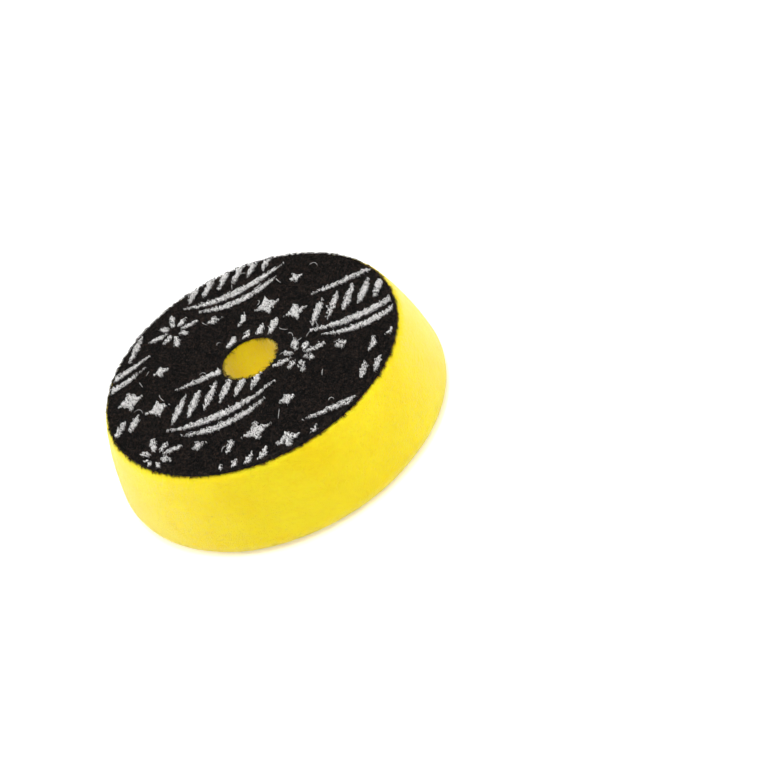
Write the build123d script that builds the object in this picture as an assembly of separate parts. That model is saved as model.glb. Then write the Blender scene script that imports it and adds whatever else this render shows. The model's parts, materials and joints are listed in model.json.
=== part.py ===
from build123d import *

import os
from math import sqrt

# A foam polishing pad with a hook-and-loop back, for a small polishing machine.
# It lies on its work face: +Z runs up the centre hole, and the loop fabric is on top.
# The origin is the middle of the work face. Lengths are in millimetres, angles in degrees.

# Overall sizes
total_thickness = 25.4     # work face to the tips of the loops
face_diameter = 93.0       # foam at the work face, before its rim is rounded
backing_diameter = 80.0    # disc of loop fabric
hole_diameter = 16.0       # centring hole, straight through every layer

# Foam flank
shoulder_width = 1.3       # foam left showing round the fabric
shoulder_radius = 1.0      # rounding where the shoulder turns into the flank
rim_radius = 3.5           # soft rounding where the flank turns into the work face
mouth_radius = 1.0         # rounding where the hole opens in the work face
flank_bulge = 0.9          # how far the flank stands out from a straight cone

# Backing, from the foam outwards
adhesive_thickness = 0.2   # hot-melt film
ground_thickness = 0.5     # knitted ground of the loop fabric
pile_thickness = 0.8       # loops standing on the ground

# Knitted-in pattern: fine swept strokes, slanted dashes, bursts and sparkles in a half-drop repeat
repeat_width = 37.0        # from one column of motifs to the next
repeat_drop = 48.0         # from one motif to the next down a column
motif_turn = 14.0          # tilt of every motif
motif_centre = (-3.0, -11.5)
smallest_mark = 1.2        # square millimetres: a smaller clipping holds no loop

# Marks of one motif, about its own centre, as drawn for a repeat of this width and drop
drawn_width = 37.0
drawn_drop = 48.0
sweeps = [                 # (start, end, sag of the lower edge, width at the middle)
    ((-20.5, -3.6), (11.0, -2.5), 5.0, 2.3),
    ((-16.5, -7.8), (8.0, -7.2), 4.6, 2.1),
    ((-16.5, 10.2), (9.5, 10.8), 1.6, 1.8),
    ((-7.0, -22.0), (-4.5, -17.0), 1.8, 1.5),
]
dash_slant = 62.0
dash_rows = [              # (middle of the first dash, how many, from one to the next, length, width)
    ((-15.5, 2.0), 6, 4.4, 11.0, 2.0),
    ((-9.5, -28.0), 4, 4.0, 6.6, 1.8),
]
burst_centre = (18.0, 2.5)
burst_rays = 8             # long and short by turns
ray_start = 1.8            # from the middle of the burst
ray_ends = (7.6, 5.2)
ray_width = 1.6
sparkle_waist = 0.33       # how far its hollow sides come in, as a share of its size
sparkles = [               # (centre, size)
    ((-20.8, 6.0), 3.8),
    ((2.5, -18.5), 4.2),
    ((12.0, -12.0), 2.6),
    ((-12.5, -14.8), 2.2),
]

# Worked out from the values above
face_radius = face_diameter / 2
backing_radius = backing_diameter / 2
hole_radius = hole_diameter / 2
shoulder_outer_radius = backing_radius + shoulder_width
foam_thickness = total_thickness - adhesive_thickness - ground_thickness - pile_thickness
ground_bottom = foam_thickness + adhesive_thickness
pile_bottom = ground_bottom + ground_thickness
stretch_across = repeat_width / drawn_width
stretch_down = repeat_drop / drawn_drop


def corner(section, x, y):
    """The corner of a flat section that lies at (x, y)."""
    return section.vertices().sort_by_distance((x, y, 0))[0]


def make_foam_body():
    """Foam that flares from the fabric to the work face, with a soft rim and a hole."""
    hole_wall = Line((hole_radius, foam_thickness), (hole_radius, 0))
    work_face = Line((hole_radius, 0), (face_radius, 0))
    flank = SagittaArc((face_radius, 0), (shoulder_outer_radius, foam_thickness), -flank_bulge)
    shoulder = Line((shoulder_outer_radius, foam_thickness), (hole_radius, foam_thickness))
    section = make_face([hole_wall, work_face, flank, shoulder])
    section = fillet(corner(section, face_radius, 0), rim_radius)
    section = fillet(corner(section, hole_radius, 0), mouth_radius)
    section = fillet(corner(section, shoulder_outer_radius, foam_thickness), shoulder_radius)
    return revolve(Plane.XZ * section, Axis.Z)


def backing_ring():
    """Outline of the fabric: a disc with the centring hole."""
    return Circle(backing_radius) - Circle(hole_radius)


def layer(outline, bottom, thickness):
    """A flat layer of the backing, from its outline."""
    return extrude(Pos(0, 0, bottom) * outline, thickness, dir=(0, 0, 1))


def sparkle(size):
    """A four-pointed star with hollow sides. Size is from its centre to a point."""
    waist = sparkle_waist * size
    points = [(size, 0), (0, size), (-size, 0), (0, -size)]
    waists = [(waist, waist), (-waist, waist), (-waist, -waist), (waist, -waist)]
    sides = [
        ThreePointArc(points[i], waists[i], points[(i + 1) % 4])
        for i in range(4)
    ]
    return make_face(sides)


def stroke(start, end, sag, width):
    """A curved stroke that is widest in the middle and runs out to a point at both ends."""
    return make_face([SagittaArc(start, end, -sag), SagittaArc(start, end, width - sag)])


def straight_stroke(start, end, width):
    """A straight stroke, pointed at both ends."""
    return stroke(start, end, width / 2, width)


def dash_row(first, count, pitch, length, width):
    """A row of slanted dashes side by side."""
    dash = Rot(0, 0, dash_slant) * straight_stroke((-length / 2, 0), (length / 2, 0), width)
    return [Pos(first[0] + i * pitch, first[1]) * dash for i in range(count)]


def burst():
    """Rays that stand round an open middle."""
    rays = []
    for i in range(burst_rays):
        ray = straight_stroke((ray_start, 0), (ray_ends[i % 2], 0), ray_width)
        rays.append(Pos(*burst_centre) * Rot(0, 0, i * 360 / burst_rays) * ray)
    return rays


def fitted(mark):
    """The mark, turned, and then stretched with the repeat so that neighbours stay clear of it."""
    sides = []
    for side in (Rot(0, 0, motif_turn) * mark).edges():
        points = [side @ 0, side @ 0.5, side @ 1]
        sides.append(ThreePointArc(*[(p.X * stretch_across, p.Y * stretch_down) for p in points]))
    return make_face(sides)


def motif():
    """All the marks of one motif, about its own centre, as they lie in the repeat."""
    marks = [stroke(*values) for values in sweeps]
    for values in dash_rows:
        marks += dash_row(*values)
    marks += burst()
    marks += [Pos(*place) * sparkle(size) for place, size in sparkles]
    return [fitted(mark) for mark in marks]


def repeat_places():
    """Centres of every motif that can reach the fabric disc."""
    columns = int(backing_diameter / repeat_width) + 1
    rows = int(backing_diameter / repeat_drop) + 1
    places = []
    for column in range(-columns, columns + 1):
        half_drop = repeat_drop / 2 * (column % 2)
        for row in range(-rows, rows + 1):
            x = motif_centre[0] + column * repeat_width
            y = motif_centre[1] + row * repeat_drop + half_drop
            if sqrt(x * x + y * y) < backing_radius + repeat_drop:
                places.append((x, y))
    return places


def make_loops():
    """The layer of loops, split into its black ground and the white marks set in it."""
    all_loops = layer(backing_ring(), pile_bottom, pile_thickness)
    outlines = motif()
    marks = []
    for x, y in repeat_places():
        for outline in outlines:
            clipped = all_loops & layer(Pos(x, y) * outline, pile_bottom, pile_thickness)
            if clipped is not None:
                smallest = smallest_mark * pile_thickness
                marks += [solid for solid in clipped.solids() if solid.volume > smallest]
    return all_loops - marks, Compound(marks)


def make_backing():
    """The layers bonded to the foam, from the film up to the two colours of loops."""
    black_loops, white_loops = make_loops()
    return {
        "adhesive_film": layer(backing_ring(), foam_thickness, adhesive_thickness),
        "ground_knit": layer(backing_ring(), ground_bottom, ground_thickness),
        "black_loops": black_loops,
        "white_loops": white_loops,
    }


pieces = {"foam_body": make_foam_body()}
pieces.update(make_backing())

os.makedirs("parts", exist_ok=True)
for name, piece in pieces.items():
    export_step(piece, f"parts/{name}.step")
    print(name, "volume", round(piece.volume, 1), "solids", len(piece.solids()))
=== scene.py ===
"""A foam polishing pad: flared yellow foam, and a back of knitted loop fabric in black and white.

Everything is in metres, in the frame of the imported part: the pad lies on its work face at z = 0,
with the loop fabric on top and +Z up its centring hole.
"""

import json
import math
import random

import bmesh
import bpy
import numpy as np
from mathutils import Matrix, Vector, noise
from mathutils.bvhtree import BVHTree


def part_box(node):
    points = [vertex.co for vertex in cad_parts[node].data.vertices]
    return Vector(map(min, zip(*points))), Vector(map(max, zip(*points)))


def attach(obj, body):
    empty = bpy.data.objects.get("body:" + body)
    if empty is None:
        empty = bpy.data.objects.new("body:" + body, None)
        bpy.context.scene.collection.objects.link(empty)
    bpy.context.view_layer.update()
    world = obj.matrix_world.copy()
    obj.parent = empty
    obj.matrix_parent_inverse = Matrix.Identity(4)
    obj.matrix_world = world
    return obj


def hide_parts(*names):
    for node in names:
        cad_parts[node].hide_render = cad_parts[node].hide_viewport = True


MM = 0.001

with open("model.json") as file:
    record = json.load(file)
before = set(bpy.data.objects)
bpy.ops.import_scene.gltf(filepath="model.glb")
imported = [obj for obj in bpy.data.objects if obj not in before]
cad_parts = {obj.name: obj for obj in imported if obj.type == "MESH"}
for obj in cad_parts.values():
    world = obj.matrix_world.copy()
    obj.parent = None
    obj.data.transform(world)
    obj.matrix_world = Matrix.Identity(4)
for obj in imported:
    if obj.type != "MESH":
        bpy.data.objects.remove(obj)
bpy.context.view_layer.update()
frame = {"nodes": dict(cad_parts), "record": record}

# Sizes of the layers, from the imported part
FOAM_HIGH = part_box("foam_body")[1]
FILM_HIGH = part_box("adhesive_film")[1]
GROUND_LOW, GROUND_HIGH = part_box("ground_knit")
LOOPS_LOW, LOOPS_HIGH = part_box("black_loops")
MOUNTS = {mount["name"]: mount for mount in frame["record"]["mounts"]}
HOLE_RADIUS = MOUNTS["centring_hole"]["dims"]["r_mm"] * MM
FOAM_RADIUS = FOAM_HIGH.x
FOAM_TOP = FOAM_HIGH.z
FABRIC_RADIUS = FILM_HIGH.x
PILE_HEIGHT = LOOPS_HIGH.z - LOOPS_LOW.z

# Foam shape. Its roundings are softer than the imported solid's
SHOULDER = 1.3 * MM            # foam left showing round the fabric
SHOULDER_ROUND = 1.8 * MM
RIM_ROUND = 4.2 * MM
MOUTH_ROUND = 1.1 * MM         # where the hole opens in the work face
FLANK_BULGE = 0.9 * MM
RIM_ALLOWANCE = 0.65 * MM      # the rim's corner before it is rounded, beyond the widest place

# How finely the foam is modelled
SPIN_STEPS = 600
FLANK_STEPS = 60
RIM_STEPS = 14
CORNER_STEPS = 5
HOLE_WALL_SPACING = 0.7 * MM
WORK_FACE_SPACING = 1.2 * MM
COVERED_SPACING = 3.0 * MM     # under the fabric, where nothing is seen

# Unevenness of the foam's skin: (how many to a metre, height)
SLOW_WAVES = (55.0, 0.16 * MM)
SMALL_LUMPS = (260.0, 0.05 * MM)
CELL_STEPS = (1400.0, 0.05 * MM)

# Knitted ground of the fabric
GROUND_OVERHANG = 0.10 * MM    # how far the ground hides the film below it
GROUND_RINGS = 24
GROUND_STEPS = 360
CUT_EDGE_WAVES = (700.0, 0.22 * MM)
HOLE_EDGE_WAVES = (900.0, 0.10 * MM)
EDGE_BAND = 0.1 * MM           # how far in from its edges the ground is uneven

# Loops that stand on the ground
LOOP_SPACING = 0.43 * MM
LOOP_WIDTH = 0.66 * MM
LOOP_YARN = {"black": 0.065 * MM, "white": 0.075 * MM}    # radius of the yarn
LOOP_JITTER = 0.45             # how far a loop stands off its grid, as a share of the spacing
LOOP_MARGIN_HOLE = 0.40 * MM   # bare ground round the hole
LOOP_MARGIN_EDGE = 0.45 * MM
CLUMPS_PER_METRE = 1300.0      # neighbouring loops stand about as high as each other
MARK_BLUR = 0.10 * MM          # how far loops usually stray over the edge of a mark
MARK_GAPS = -0.30              # below this noise a white mark misses a loop
GAPS_PER_METRE = 1500.0
SECOND_SPACING = LOOP_SPACING * 1.15    # a second, thinner sowing of loops in the white marks
SECOND_SHARE = 0.45            # of its places get a loop
BLACK_LOTS = 3                 # so that each piece stays under 200,000 triangles

# Loose filaments
EDGE_HAIRS = 8200
HOLE_HAIRS = 900
NAP_HAIRS = 1500
TUFTS_PER_METRE = 1100.0
HAIR_RADIUS = 0.045 * MM
HAIR_TAPER = (1.0, 0.9, 0.7, 0.3)       # share of the radius at each point, from the root
STRAYS = 26
STRAY_STEPS = 5
STRAY_RADIUS = 0.055 * MM
STRAY_TAPER = (0.6, 1.0, 1.0, 1.0, 0.9, 0.4)


# ---------------------------------------------------------------- helpers


def link(name, data):
    """A new object in the scene, for a mesh, a curve, a light or a camera."""
    thing = bpy.data.objects.new(name, data)
    bpy.context.scene.collection.objects.link(thing)
    return thing


def mesh_from(bm, name, smooth=True):
    """Turns a bmesh into an object, and frees the bmesh."""
    mesh = bpy.data.meshes.new(name)
    for face in bm.faces:
        face.smooth = smooth
    bm.to_mesh(mesh)
    bm.free()
    return link(name, mesh)


def arc_about(centre, first, last, radius, steps):
    """Points of an arc about a centre, from the direction of first to the direction of last."""
    return [
        centre + (first * (1 - t) + last * t).normalized() * radius
        for t in (i / steps for i in range(steps + 1))
    ]


def rounded_corner(corner, before, after, radius, steps):
    """Points of an arc that rounds the corner between two other points of an outline."""
    corner, before, after = Vector(corner), Vector(before), Vector(after)
    to_before = (before - corner).normalized()
    to_after = (after - corner).normalized()
    half = to_before.angle(to_after) / 2
    reach = radius / math.tan(half)
    centre = corner + (to_before + to_after).normalized() * (radius / math.sin(half))
    first = corner + to_before * reach - centre
    last = corner + to_after * reach - centre
    return arc_about(centre, first, last, radius, steps)


def evenly(start, end, spacing):
    """Points from start to just before end, about spacing apart."""
    start, end = Vector(start), Vector(end)
    steps = max(1, round((end - start).length / spacing))
    return [start.lerp(end, i / steps) for i in range(steps)]


# ---------------------------------------------------------------- foam


def arc_points(low, high, bulge, steps):
    """Points of the arc between two points of an outline that stands out from their chord."""
    low, high = Vector(low), Vector(high)
    chord = high - low
    outward = Vector((chord.y, -chord.x)).normalized()
    radius = (chord.length_squared / 4 + bulge * bulge) / (2 * bulge)
    centre = (low + high) / 2 - outward * (radius - bulge)
    return arc_about(centre, low - centre, high - centre, radius, steps)


def foam_outline():
    """Half section of the foam as (radius, height), from the top of the hole round to it again."""
    shoulder = Vector((FABRIC_RADIUS + SHOULDER, FOAM_TOP))
    rim = Vector((FOAM_RADIUS + RIM_ALLOWANCE, 0.0))
    hole_top = Vector((HOLE_RADIUS, FOAM_TOP))
    hole_low = Vector((HOLE_RADIUS, 0.0))
    flank = arc_points(rim, shoulder, FLANK_BULGE, FLANK_STEPS)
    above_rim = min(flank, key=lambda point: abs((point - rim).length - RIM_ROUND))
    below_shoulder = min(flank, key=lambda point: abs((point - shoulder).length - SHOULDER_ROUND))
    mouth = rounded_corner(hole_low, hole_top, rim, MOUTH_ROUND, CORNER_STEPS)
    rim_arc = rounded_corner(rim, hole_low, above_rim, RIM_ROUND, RIM_STEPS)
    shoulder_arc = rounded_corner(
        shoulder, below_shoulder, hole_top, SHOULDER_ROUND, CORNER_STEPS,
    )
    points = evenly(hole_top, mouth[0], HOLE_WALL_SPACING) + mouth
    points += evenly(mouth[-1], rim_arc[0], WORK_FACE_SPACING)[1:] + rim_arc
    points += [p for p in flank if rim_arc[-1].y < p.y < shoulder_arc[0].y] + shoulder_arc
    points += evenly(shoulder_arc[-1], hole_top, COVERED_SPACING)[1:]
    return points


def foam_relief(place, normal):
    """How far the foam's skin stands in or out at a place: slow waves, small lumps and cells."""
    slow = noise.noise(place * SLOW_WAVES[0]) * SLOW_WAVES[1]
    lumps = noise.noise(place * SMALL_LUMPS[0] + Vector((7, 3, 1))) * SMALL_LUMPS[1]
    cells = (noise.cell(place * CELL_STEPS[0]) - 0.5) * CELL_STEPS[1]
    return normal * (slow + lumps + cells)


def make_foam():
    """The foam body, spun from its outline, with an uneven skin."""
    bm = bmesh.new()
    ring = [bm.verts.new((r, 0, z)) for r, z in foam_outline()]
    edges = [bm.edges.new(pair) for pair in zip(ring, ring[1:] + ring[:1])]
    bmesh.ops.spin(
        bm, geom=ring + edges, cent=(0, 0, 0), axis=(0, 0, 1),
        angle=math.tau, steps=SPIN_STEPS, use_merge=True, use_duplicate=False,
    )
    bmesh.ops.remove_doubles(bm, verts=bm.verts, dist=0.01 * MM)
    bmesh.ops.recalc_face_normals(bm, faces=bm.faces)
    bm.normal_update()
    for vert in bm.verts:
        vert.co += foam_relief(vert.co, vert.normal)
        vert.co.z = min(max(vert.co.z, 0.0), FOAM_TOP)
    return mesh_from(bm, "foam")


# ---------------------------------------------------------------- loop fabric


def spread(spacing, jitter, rng, inner, outer):
    """Places on the fabric ring on a shaken-up grid, as (x, y)."""
    half = int(outer / spacing) + 2
    places = []
    for row in range(-half, half + 1):
        for column in range(-half, half + 1):
            x = (column + 0.5 * (row % 2) + rng.uniform(-jitter, jitter)) * spacing
            y = (row + rng.uniform(-jitter, jitter)) * spacing
            if inner < math.hypot(x, y) < outer:
                places.append((x, y))
    return places


def mark_finder():
    """A test that tells whether a place on the fabric is inside a white mark."""
    marks = frame["nodes"]["white_loops"]
    corners = [vert.co.copy() for vert in marks.data.vertices]
    faces = [list(face.vertices) for face in marks.data.polygons]
    tree = BVHTree.FromPolygons(corners, faces)
    above = LOOPS_HIGH.z + 5 * MM

    def is_white(x, y):
        return tree.ray_cast(Vector((x, y, above)), Vector((0, 0, -1)), 10 * MM)[0] is not None

    return is_white


def loop_path(x, y, rng, height, width):
    """Five points along one standing loop of yarn."""
    turn = rng.uniform(0, math.tau)
    lean = rng.uniform(0, 0.75) * height
    lean_way = rng.uniform(0, math.tau)
    along = Vector((math.cos(turn), math.sin(turn), 0))
    tip = Vector((math.cos(lean_way), math.sin(lean_way), 0)) * lean
    foot = Vector((x, y, GROUND_HIGH.z - 0.08 * MM))
    up = Vector((0, 0, height))
    return [
        foot - along * width * 0.30,
        foot - along * width * 0.52 + up * 0.55 + tip * 0.5,
        foot + up + tip,
        foot + along * width * 0.52 + up * 0.55 + tip * 0.5,
        foot + along * width * 0.30,
    ]


def yarn_section(radius):
    """A three-sided section for yarn, as a small closed curve."""
    curve = bpy.data.curves.new("yarn_section", "CURVE")
    curve.dimensions = "2D"
    spline = curve.splines.new("POLY")
    spline.points.add(2)
    for i, point in enumerate(spline.points):
        turn = -math.tau * i / 3
        point.co = (radius * math.cos(turn), radius * math.sin(turn), 0, 1)
    spline.use_cyclic_u = True
    return link("yarn_section", curve)


def make_yarn(name, paths, radius, taper=None):
    """One piece of many separate yarns, each a closed tube along its own path.

    Every yarn gets its own square of the bake's UV map.
    """
    section = yarn_section(radius)
    curve = bpy.data.curves.new(name, "CURVE")
    curve.dimensions = "3D"
    curve.bevel_mode = "OBJECT"
    curve.bevel_object = section
    curve.use_fill_caps = True
    for path in paths:
        spline = curve.splines.new("POLY")
        spline.points.add(len(path) - 1)
        spline.points.foreach_set("co", [c for point in path for c in (*point, 1)])
        if taper:
            spline.points.foreach_set("radius", taper)
    source = link(name + "_source", curve)
    depsgraph = bpy.context.evaluated_depsgraph_get()
    mesh = bpy.data.meshes.new_from_object(source.evaluated_get(depsgraph))
    lay_out_yarns(mesh, len(paths), len(paths[0]))
    bpy.data.objects.remove(source)
    bpy.data.objects.remove(section)
    bm = bmesh.new()
    bm.from_mesh(mesh)
    bmesh.ops.remove_doubles(bm, verts=bm.verts, dist=0.001 * MM)
    bm.to_mesh(mesh)
    bm.free()
    mesh.name = name
    return link(name, mesh)


def lay_out_yarns(mesh, count, points):
    """Moves each yarn's faces into its own square of the map that the bake uses."""
    layer = mesh.uv_layers[0]
    layer.name = "OFBake"
    cells = math.ceil(math.sqrt(count))
    caps = np.repeat(np.arange(count), 2 * 3)
    sides = np.repeat(np.arange(count), (points - 1) * 3 * 4)
    owner = np.concatenate([caps, sides])
    uv = np.empty(len(mesh.loops) * 2, np.float32)
    layer.uv.foreach_get("vector", uv)
    uv = uv.reshape(-1, 2)
    margin = 0.12
    uv = uv * (1 - 2 * margin) + margin
    uv[:, 0] = (uv[:, 0] + owner % cells) / cells
    uv[:, 1] = (uv[:, 1] + owner // cells) / cells
    layer.uv.foreach_set("vector", uv.ravel())


def make_ground():
    """The knitted ground of the fabric: a thin ring with slightly uneven cut edges."""
    bm = bmesh.new()
    thick = GROUND_HIGH.z - GROUND_LOW.z
    outer = FABRIC_RADIUS + GROUND_OVERHANG
    width = outer - HOLE_RADIUS
    radii = [HOLE_RADIUS + width * i / GROUND_RINGS for i in range(GROUND_RINGS + 1)]
    ring = [bm.verts.new((r, 0, GROUND_LOW.z)) for r in radii]
    edges = [bm.edges.new(pair) for pair in zip(ring, ring[1:])]
    bmesh.ops.spin(
        bm, geom=ring + edges, cent=(0, 0, 0), axis=(0, 0, 1),
        angle=math.tau, steps=GROUND_STEPS, use_merge=True, use_duplicate=False,
    )
    bmesh.ops.remove_doubles(bm, verts=bm.verts, dist=0.01 * MM)
    bmesh.ops.recalc_face_normals(bm, faces=bm.faces)
    top = bmesh.ops.extrude_face_region(bm, geom=bm.faces[:])
    raised = [item for item in top["geom"] if isinstance(item, bmesh.types.BMVert)]
    bmesh.ops.translate(bm, verts=raised, vec=(0, 0, thick))
    bmesh.ops.recalc_face_normals(bm, faces=bm.faces)
    for vert in bm.verts:
        flat = Vector((vert.co.x, vert.co.y, 0))
        outward = flat.normalized()
        if flat.length > FABRIC_RADIUS - EDGE_BAND:
            vert.co += outward * noise.noise(flat * CUT_EDGE_WAVES[0]) * CUT_EDGE_WAVES[1]
        elif flat.length < HOLE_RADIUS + EDGE_BAND:
            vert.co += outward * noise.noise(flat * HOLE_EDGE_WAVES[0]) * HOLE_EDGE_WAVES[1]
    return mesh_from(bm, "fabric_ground", smooth=False)


def make_loop_paths():
    """Paths of all the standing loops: the black ones in lots, and the white marks."""
    is_white = mark_finder()
    rng = random.Random(11)
    black = []
    white = []
    inner = HOLE_RADIUS + LOOP_MARGIN_HOLE
    outer = FABRIC_RADIUS - LOOP_MARGIN_EDGE
    for x, y in spread(LOOP_SPACING, LOOP_JITTER, rng, inner, outer):
        clump = noise.noise(Vector((x, y, 0)) * CLUMPS_PER_METRE)
        height = PILE_HEIGHT * (rng.uniform(0.70, 1.0) + 0.25 * clump)
        near_x = x + rng.gauss(0, MARK_BLUR)
        near_y = y + rng.gauss(0, MARK_BLUR)
        if not is_white(near_x, near_y):
            black.append(loop_path(x, y, rng, height, LOOP_WIDTH))
        elif noise.noise(Vector((x, y, 0.5)) * GAPS_PER_METRE) > MARK_GAPS:
            white.append(loop_path(x, y, rng, height, LOOP_WIDTH))
    for x, y in spread(SECOND_SPACING, LOOP_JITTER, rng, inner, outer):
        near_x = x + rng.gauss(0, MARK_BLUR)
        near_y = y + rng.gauss(0, MARK_BLUR)
        if is_white(near_x, near_y) and rng.random() < SECOND_SHARE:
            height = PILE_HEIGHT * rng.uniform(0.7, 1.15)
            white.append(loop_path(x, y, rng, height, LOOP_WIDTH))
    share = math.ceil(len(black) / BLACK_LOTS)
    paths = {
        f"loops_black_{i + 1}": black[i * share:(i + 1) * share]
        for i in range(BLACK_LOTS)
    }
    paths["loops_white"] = white
    return paths


def edge_fuzz_paths():
    """Cut filaments that stand out in tufts past the fabric's outer edge and into its hole."""
    rng = random.Random(23)
    paths = []
    for edge, outward, count in ((FABRIC_RADIUS, 1, EDGE_HAIRS), (HOLE_RADIUS, -1, HOLE_HAIRS)):
        for _ in range(count):
            turn = rng.uniform(0, math.tau)
            way = Vector((math.cos(turn), math.sin(turn), 0))
            side = Vector((-way.y, way.x, 0)) * rng.uniform(-1, 1)
            tuft = max(0.0, noise.noise(way * edge * TUFTS_PER_METRE) + 0.25)
            root = way * (edge - outward * 0.45 * MM)
            root.z = rng.uniform(GROUND_LOW.z, LOOPS_HIGH.z - 0.1 * MM)
            reach = rng.uniform(0.45, 0.95) * MM + tuft * 0.9 * MM
            drop = Vector((0, 0, rng.uniform(-0.9, 0.05) * reach))
            out = way * outward * reach
            paths.append([
                root,
                root + out * 0.45 + side * reach * 0.15,
                root + out * 0.80 + side * reach * 0.35 + drop * 0.4,
                root + out + side * reach * 0.60 + drop,
            ])
    return paths


def nap_hair_paths():
    """Loose filaments that lie in curls over the tops of the loops."""
    rng = random.Random(31)
    paths = []
    while len(paths) < NAP_HAIRS:
        turn = rng.uniform(0, math.tau)
        radius = math.sqrt(rng.uniform(0.0, 1.0)) * (FABRIC_RADIUS - 1.5 * MM)
        if radius < HOLE_RADIUS + 1.5 * MM:
            continue
        place = Vector((radius * math.cos(turn), radius * math.sin(turn), LOOPS_HIGH.z))
        heading = rng.uniform(0, math.tau)
        bend = rng.uniform(-1.3, 1.3)
        path = [place + Vector((0, 0, -0.35 * MM))]
        for _ in range(3):
            heading += bend
            step = Vector((math.cos(heading), math.sin(heading), 0)) * rng.uniform(0.25, 0.55) * MM
            place = place + step
            path.append(place + Vector((0, 0, rng.uniform(-0.25, 0.06) * MM)))
        paths.append(path)
    return paths


def stray_paths():
    """A few long pale filaments, shed by the marks, that lie in curls on the black."""
    rng = random.Random(47)
    paths = []
    for _ in range(STRAYS):
        turn = rng.uniform(0, math.tau)
        radius = rng.uniform(HOLE_RADIUS + 3 * MM, FABRIC_RADIUS - 3 * MM)
        place = Vector((radius * math.cos(turn), radius * math.sin(turn), LOOPS_HIGH.z - 0.3 * MM))
        heading = rng.uniform(0, math.tau)
        bend = rng.uniform(-0.6, 0.6)
        length = rng.uniform(0.35, 0.75) * MM
        path = [place.copy()]
        for i in range(STRAY_STEPS):
            heading += bend
            place += Vector((math.cos(heading), math.sin(heading), 0)) * length
            rise = math.sin(math.pi * (i + 1) / STRAY_STEPS) * 0.32 * MM
            path.append(place + Vector((0, 0, rise)))
        paths.append(path)
    return paths


# ---------------------------------------------------------------- materials


def new_material(name):
    """A material with its node tree and its Principled shader."""
    material = bpy.data.materials.new(name)
    material.use_nodes = True
    return material, material.node_tree, material.node_tree.nodes["Principled BSDF"]


def feed(tree, socket, value):
    """Gives an input a plain value, or joins another node's output to it."""
    if isinstance(value, bpy.types.NodeSocket):
        tree.links.new(value, socket)
    else:
        socket.default_value = value


def add_node(tree, kind, inputs, **settings):
    """A node with its settings and what its inputs are fed."""
    node = tree.nodes.new(kind)
    for key, value in settings.items():
        setattr(node, key, value)
    for key, value in inputs.items():
        feed(tree, node.inputs[key], value)
    return node


def new_group(name, inputs, outputs):
    """A shader node group with named sockets. Returns it, its inputs and its output node."""
    group = bpy.data.node_groups.new(name, "ShaderNodeTree")
    for label, kind in inputs:
        group.interface.new_socket(label, in_out="INPUT", socket_type="NodeSocket" + kind)
    for label, kind in outputs:
        group.interface.new_socket(label, in_out="OUTPUT", socket_type="NodeSocket" + kind)
    inside = group.nodes.new("NodeGroupInput").outputs
    return group, inside, group.nodes.new("NodeGroupOutput")


def use_group(tree, group, inputs):
    """Places a group in a material's tree, with its own values."""
    node = tree.nodes.new("ShaderNodeGroup")
    node.node_tree = group
    for key, value in inputs.items():
        feed(tree, node.inputs[key], value)
    return node.outputs


def object_place(tree):
    """The place on the piece, in metres in the part's frame."""
    return tree.nodes.new("ShaderNodeTexCoord").outputs["Object"]


def ramp(tree, value, low, high, to_low=0.0, to_high=1.0):
    """A value stretched from one range to another, and held there."""
    return add_node(
        tree, "ShaderNodeMapRange",
        {"Value": value, "From Min": low, "From Max": high, "To Min": to_low, "To Max": to_high},
        interpolation_type="SMOOTHSTEP",
    ).outputs["Result"]


def blend(tree, factor, first, second):
    """A colour between two others."""
    node = add_node(tree, "ShaderNodeMix", {}, data_type="RGBA")
    for index, value in ((0, factor), (6, first), (7, second)):
        feed(tree, node.inputs[index], value)
    return node.outputs[2]


def sum_of(tree, first, second, share):
    """first plus a share of second."""
    return add_node(
        tree, "ShaderNodeMath", {0: second, 1: share, 2: first}, operation="MULTIPLY_ADD",
    ).outputs[0]


def noise_at(tree, place, scale, detail=3.0, roughness=0.55):
    """Smooth noise at a place, from 0 to 1."""
    return add_node(
        tree, "ShaderNodeTexNoise",
        {"Vector": place, "Scale": scale, "Detail": detail, "Roughness": roughness},
    ).outputs["Fac"]


# Colours, each from its darkest to its lightest
BLACK_DARK, BLACK_LIGHT = (0.0008, 0.0006, 0.0005, 1), (0.072, 0.046, 0.034, 1)
WHITE_DARK, WHITE_LIGHT = (0.22, 0.21, 0.20, 1), (1.0, 0.985, 0.97, 1)
KNIT_DARK, KNIT_LIGHT = (0.003, 0.0028, 0.0025, 1), (0.02, 0.018, 0.016, 1)
GLUE_DARK, GLUE_LIGHT = (0.05, 0.035, 0.008, 1), (0.22, 0.15, 0.03, 1)
# The deep gold is the foam's own tone in its random mottle, and also the painted shade in its pits
FOAM_GOLD_AND_PIT_SHADE = (0.830, 0.535, 0.004, 1)
FOAM_YELLOW = (0.875, 0.672, 0.010, 1)
FOAM_PALE = (0.900, 0.738, 0.020, 1)
LINT = (0.10, 0.08, 0.02, 1)

# How fine the patterns are
LOOPS_PER_METRE = 2200.0
CLOUDS_PER_METRE = 900.0       # in the film
CELLS_PER_METRE = 2500.0       # in the foam


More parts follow.
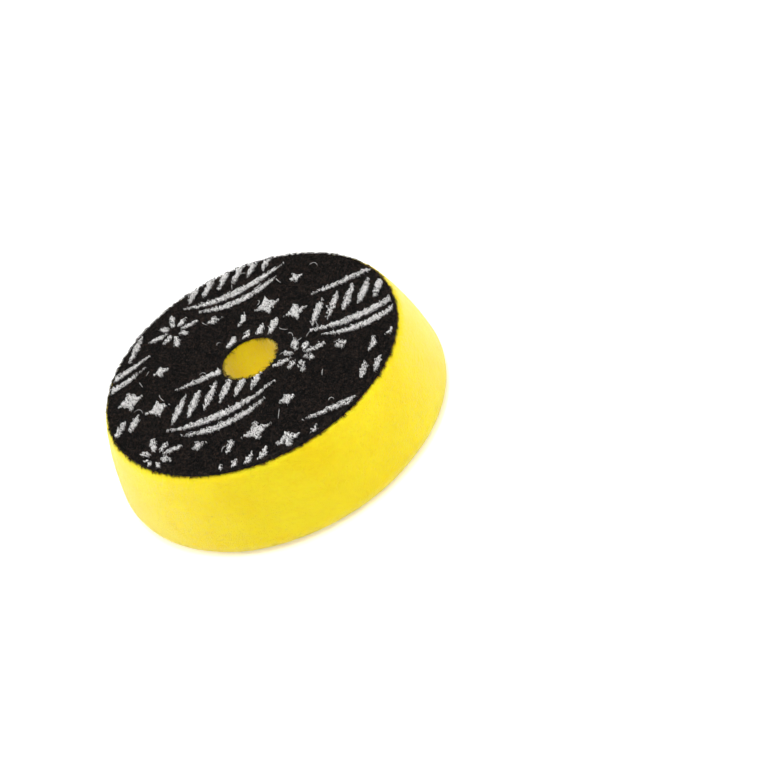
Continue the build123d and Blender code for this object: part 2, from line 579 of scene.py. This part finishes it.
def make_yarn_shade_group():
    """Dyed yarn: every loop has a shade of its own, and the cloth drifts a little besides."""
    group, inside, result = new_group(
        "yarn_shade",
        [("Place", "Vector"), ("Dark", "Color"), ("Light", "Color"), ("Loops per Metre", "Float"),
         ("Lightness", "Float")],
        [("Color", "Color"), ("Height", "Float")],
    )
    loops = add_node(
        group, "ShaderNodeTexVoronoi",
        {"Vector": inside["Place"], "Scale": inside["Loops per Metre"], "Randomness": 1.0},
        feature="F1",
    )
    loop_shade = add_node(group, "ShaderNodeSeparateColor", {"Color": loops.outputs["Color"]})
    filaments = noise_at(group, inside["Place"], 4800.0, 2.0, 0.6)
    drift = noise_at(group, inside["Place"], 180.0, 2.0)
    mixed = sum_of(group, inside["Lightness"], loop_shade.outputs["Red"], 0.70)
    mixed = sum_of(group, mixed, filaments, 0.50)
    mixed = sum_of(group, mixed, drift, 0.15)
    factor = ramp(group, mixed, 0.55, 1.12)
    shade = blend(group, factor, inside["Dark"], inside["Light"])
    group.links.new(shade, result.inputs["Color"])
    group.links.new(filaments, result.inputs["Height"])
    return group


def yarn_material(name, shade_group, dark, light, lightness, roughness, sheen):
    """Nylon yarn: matt, with a faint bright edge from its fine filaments."""
    material, tree, shader = new_material(name)
    shade = use_group(tree, shade_group, {
        "Place": object_place(tree), "Dark": dark, "Light": light,
        "Loops per Metre": LOOPS_PER_METRE, "Lightness": lightness,
    })
    bump = add_node(
        tree, "ShaderNodeBump",
        {"Height": shade["Height"], "Strength": 0.5, "Distance": 0.05 * MM},
    )
    tree.links.new(shade["Color"], shader.inputs["Base Color"])
    tree.links.new(bump.outputs["Normal"], shader.inputs["Normal"])
    shader.inputs["Roughness"].default_value = roughness
    shader.inputs["Sheen Weight"].default_value = sheen
    shader.inputs["Sheen Roughness"].default_value = 0.4
    shader.inputs["Specular IOR Level"].default_value = 0.15
    return material


def make_cells_group():
    """Open cells of foam: close-packed round pits in two sizes, some deeper than others."""
    group, inside, result = new_group(
        "open_cells",
        [("Place", "Vector"), ("Cells per Metre", "Float"), ("Evenness", "Float")],
        [("Pits", "Float"), ("Height", "Float")],
    )
    pits = []
    for size in (1.0, 1.9):
        density = add_node(
            group, "ShaderNodeMath", {0: inside["Cells per Metre"], 1: size}, operation="MULTIPLY",
        ).outputs[0]
        cells = add_node(
            group, "ShaderNodeTexVoronoi",
            {"Vector": inside["Place"], "Scale": density, "Randomness": 1.0}, feature="F1",
        )
        random_part = add_node(group, "ShaderNodeSeparateColor", {"Color": cells.outputs["Color"]})
        depth = ramp(group, random_part.outputs["Red"], 0.0, 1.0, inside["Evenness"], 1.0)
        bowl = ramp(group, cells.outputs["Distance"], 0.12, 0.58, 1.0, 0.0)
        pits.append(add_node(
            group, "ShaderNodeMath", {0: bowl, 1: depth}, operation="MULTIPLY",
        ).outputs[0])
    both = sum_of(group, pits[0], pits[1], 0.6)
    skin = noise_at(group, inside["Place"], 5200.0, 2.0, 0.6)
    height = sum_of(group, skin, both, -1.6)
    group.links.new(both, result.inputs["Pits"])
    group.links.new(height, result.inputs["Height"])
    return group


def foam_material(cells_group):
    """Yellow open-cell foam: soft, matt, with fine pits where shade is painted in a deeper gold.
    """
    material, tree, shader = new_material("yellow_foam")
    place = object_place(tree)
    cells = use_group(tree, cells_group, {
        "Place": place, "Cells per Metre": CELLS_PER_METRE, "Evenness": 0.40,
    })
    drift = noise_at(tree, place, 60.0, 2.0)
    mottle = noise_at(tree, place, 900.0, 2.0, 0.6)
    base = blend(tree, ramp(tree, drift, 0.3, 0.7), FOAM_YELLOW, FOAM_PALE)
    mottled = blend(tree, ramp(tree, mottle, 0.45, 0.85, 0.0, 0.22), base, FOAM_GOLD_AND_PIT_SHADE)
    # painted shade: the pits of the cells are coloured a deeper gold, standing in for the shade
    # inside them
    pit_shaded = blend(tree, ramp(tree, cells["Pits"], 0.10, 1.15, 0.0, 0.60), mottled, FOAM_GOLD_AND_PIT_SHADE)
    lint = noise_at(tree, place, 1500.0, 1.0)
    speckled = blend(tree, ramp(tree, lint, 0.80, 0.84), pit_shaded, LINT)
    bump = add_node(
        tree, "ShaderNodeBump",
        {"Height": cells["Height"], "Strength": 0.8, "Distance": 0.09 * MM},
    )
    tree.links.new(speckled, shader.inputs["Base Color"])
    tree.links.new(bump.outputs["Normal"], shader.inputs["Normal"])
    shader.inputs["Roughness"].default_value = 0.95
    shader.inputs["Specular IOR Level"].default_value = 0.06
    shader.inputs["Sheen Weight"].default_value = 1.0
    shader.inputs["Sheen Tint"].default_value = (1.0, 0.96, 0.62, 1)
    shader.inputs["Sheen Roughness"].default_value = 0.36
    shader.inputs["Subsurface Weight"].default_value = 0.45
    shader.inputs["Subsurface Radius"].default_value = (1.0, 0.6, 0.12)
    shader.inputs["Subsurface Scale"].default_value = 3.0 * MM
    return material


def glue_material(shade_group):
    """Set hot-melt film: dull amber with cloudy patches."""
    material, tree, shader = new_material("clear_adhesive")
    shade = use_group(tree, shade_group, {
        "Place": object_place(tree), "Dark": GLUE_DARK, "Light": GLUE_LIGHT,
        "Loops per Metre": CLOUDS_PER_METRE, "Lightness": 0.0,
    })
    tree.links.new(shade["Color"], shader.inputs["Base Color"])
    shader.inputs["Roughness"].default_value = 0.45
    return material


# Glow of the floor, by distance from the pad's middle
GLOW_ROUND_PAD = 0.32
GLOW_STARTS = 0.10
GLOW_IS_FULL = 0.45


def floor_material():
    """Plain white table that glows faintly round the pad, and is white out to the horizon."""
    material, tree, shader = new_material("floor_white")
    distance = add_node(
        tree, "ShaderNodeVectorMath", {0: object_place(tree)}, operation="LENGTH",
    ).outputs["Value"]
    glow = ramp(tree, distance, GLOW_STARTS, GLOW_IS_FULL, GLOW_ROUND_PAD, 1.0)
    tree.links.new(glow, shader.inputs["Emission Strength"])
    shader.inputs["Base Color"].default_value = (0.92, 0.92, 0.92, 1)
    shader.inputs["Roughness"].default_value = 0.7
    shader.inputs["Emission Color"].default_value = (1, 1, 1, 1)
    return material


# ---------------------------------------------------------------- stage, light and camera

VIEW_AZIMUTH = 17.2            # degrees round from -Y towards +X
VIEW_ELEVATION = 39.1          # degrees above the floor
VIEW_ROLL = -26.1              # degrees that the camera leans
VIEW_DISTANCE = 0.4077
VIEW_AIM = Vector((0.0325, -0.0100, 0.0127))
VIEW_LENS = 75.56              # millimetres

# Soft square lights: (name, place, width, watts)
SOFT_LIGHTS = [
    ("key_light", (0.13, -0.32, 0.90), 0.45, 5.35),
    ("back_light", (0.05, 0.28, 0.90), 0.45, 4.2),
    ("left_light", (-0.80, 0.05, 0.35), 0.40, 3.6),
    ("right_light", (0.80, 0.25, 0.35), 0.40, 2.0),
]
HOLE_LIGHT_PLACE = (0.16, -0.52, 0.70)
HOLE_LIGHT_AIM = (0, 0.002, FOAM_TOP)
HOLE_LIGHT_WATTS = 12.0
HOLE_LIGHT_SPREAD = 1.05       # degrees, which just fills the hole
SURROUND_STRENGTH = 0.20
FLOOR_HALF_WIDTH = 3.0


def make_camera():
    """The camera, aimed to the right of the pad and leaning, so the pad seems to lean."""
    azimuth = math.radians(VIEW_AZIMUTH)
    elevation = math.radians(VIEW_ELEVATION)
    back = Vector((
        math.sin(azimuth) * math.cos(elevation),
        -math.cos(azimuth) * math.cos(elevation),
        math.sin(elevation),
    ))
    data = bpy.data.cameras.new("camera")
    data.lens = VIEW_LENS
    camera = link("camera", data)
    level = (-back).to_track_quat("-Z", "Y").to_matrix().to_4x4()
    lean = Matrix.Rotation(math.radians(VIEW_ROLL), 4, "Z")
    camera.matrix_world = Matrix.Translation(VIEW_AIM + back * VIEW_DISTANCE) @ level @ lean
    data.clip_start = 0.01
    bpy.context.scene.camera = camera


def aim_light(light, place, target):
    """Puts a light at a place and turns it to face another."""
    place = Vector(place)
    turn = (Vector(target) - place).to_track_quat("-Z", "Y").to_matrix().to_4x4()
    light.matrix_world = Matrix.Translation(place) @ turn


def make_soft_light(name, place, width, watts):
    """A square soft light that faces the middle of the pad."""
    data = bpy.data.lights.new(name, "AREA")
    data.size = width
    data.energy = watts
    aim_light(link(name, data), place, (0, 0, FOAM_TOP / 2))


def make_hole_light():
    """A narrow spot from the camera's side that reaches down the centring hole."""
    data = bpy.data.lights.new("hole_light", "SPOT")
    data.energy = HOLE_LIGHT_WATTS
    data.spot_size = math.radians(HOLE_LIGHT_SPREAD)
    data.spot_blend = 0.5
    data.shadow_soft_size = 0.003
    aim_light(link("hole_light", data), HOLE_LIGHT_PLACE, HOLE_LIGHT_AIM)


def make_surroundings():
    """Soft light from all round, and a plain white background for the camera."""
    world = bpy.data.worlds.new("studio")
    bpy.context.scene.world = world
    world.use_nodes = True
    tree = world.node_tree
    soft = tree.nodes["Background"]
    soft.inputs["Color"].default_value = (1, 1, 1, 1)
    soft.inputs["Strength"].default_value = SURROUND_STRENGTH
    backdrop = add_node(tree, "ShaderNodeBackground", {"Color": (1, 1, 1, 1), "Strength": 1.0})
    seen = tree.nodes.new("ShaderNodeLightPath").outputs["Is Camera Ray"]
    chosen = tree.nodes.new("ShaderNodeMixShader")
    tree.links.new(seen, chosen.inputs[0])
    tree.links.new(soft.outputs[0], chosen.inputs[1])
    tree.links.new(backdrop.outputs[0], chosen.inputs[2])
    tree.links.new(chosen.outputs[0], tree.nodes["World Output"].inputs["Surface"])


def make_stage():
    """White table, white surroundings, the soft lights and the narrow one."""
    bm = bmesh.new()
    bmesh.ops.create_grid(bm, x_segments=1, y_segments=1, size=FLOOR_HALF_WIDTH)
    floor = mesh_from(bm, "floor")
    floor.data.materials.append(floor_material())
    make_surroundings()
    for values in SOFT_LIGHTS:
        make_soft_light(*values)
    make_hole_light()
    bpy.context.scene.view_settings.view_transform = "Standard"


make_camera()
make_stage()

shade_group = make_yarn_shade_group()
cells_group = make_cells_group()
knit = yarn_material("black_knit", shade_group, KNIT_DARK, KNIT_LIGHT, 0.0, 0.9, 0.2)
black_yarn = yarn_material("black_pile", shade_group, BLACK_DARK, BLACK_LIGHT, -0.07, 0.75, 0.03)
white_yarn = yarn_material("white_pile", shade_group, WHITE_DARK, WHITE_LIGHT, 0.52, 0.8, 0.3)

foam = make_foam()
foam.data.materials.append(foam_material(cells_group))
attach(foam, "root")
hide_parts("foam_body")

frame["nodes"]["adhesive_film"].data.materials.clear()
frame["nodes"]["adhesive_film"].data.materials.append(glue_material(shade_group))

ground = make_ground()
ground.data.materials.append(knit)
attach(ground, "root")
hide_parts("ground_knit")

for name, paths in make_loop_paths().items():
    colour = name.split("_")[1]
    piece = make_yarn(name, paths, LOOP_YARN[colour])
    piece.data.materials.append({"black": black_yarn, "white": white_yarn}[colour])
    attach(piece, "root")
    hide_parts(f"{colour}_loops")

for name, paths in (("edge_fuzz", edge_fuzz_paths()), ("nap_hairs", nap_hair_paths())):
    piece = make_yarn(name, paths, HAIR_RADIUS, HAIR_TAPER)
    piece.data.materials.append(black_yarn)
    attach(piece, "root")

strays = make_yarn("stray_hairs", stray_paths(), STRAY_RADIUS, STRAY_TAPER)
strays.data.materials.append(white_yarn)
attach(strays, "root")
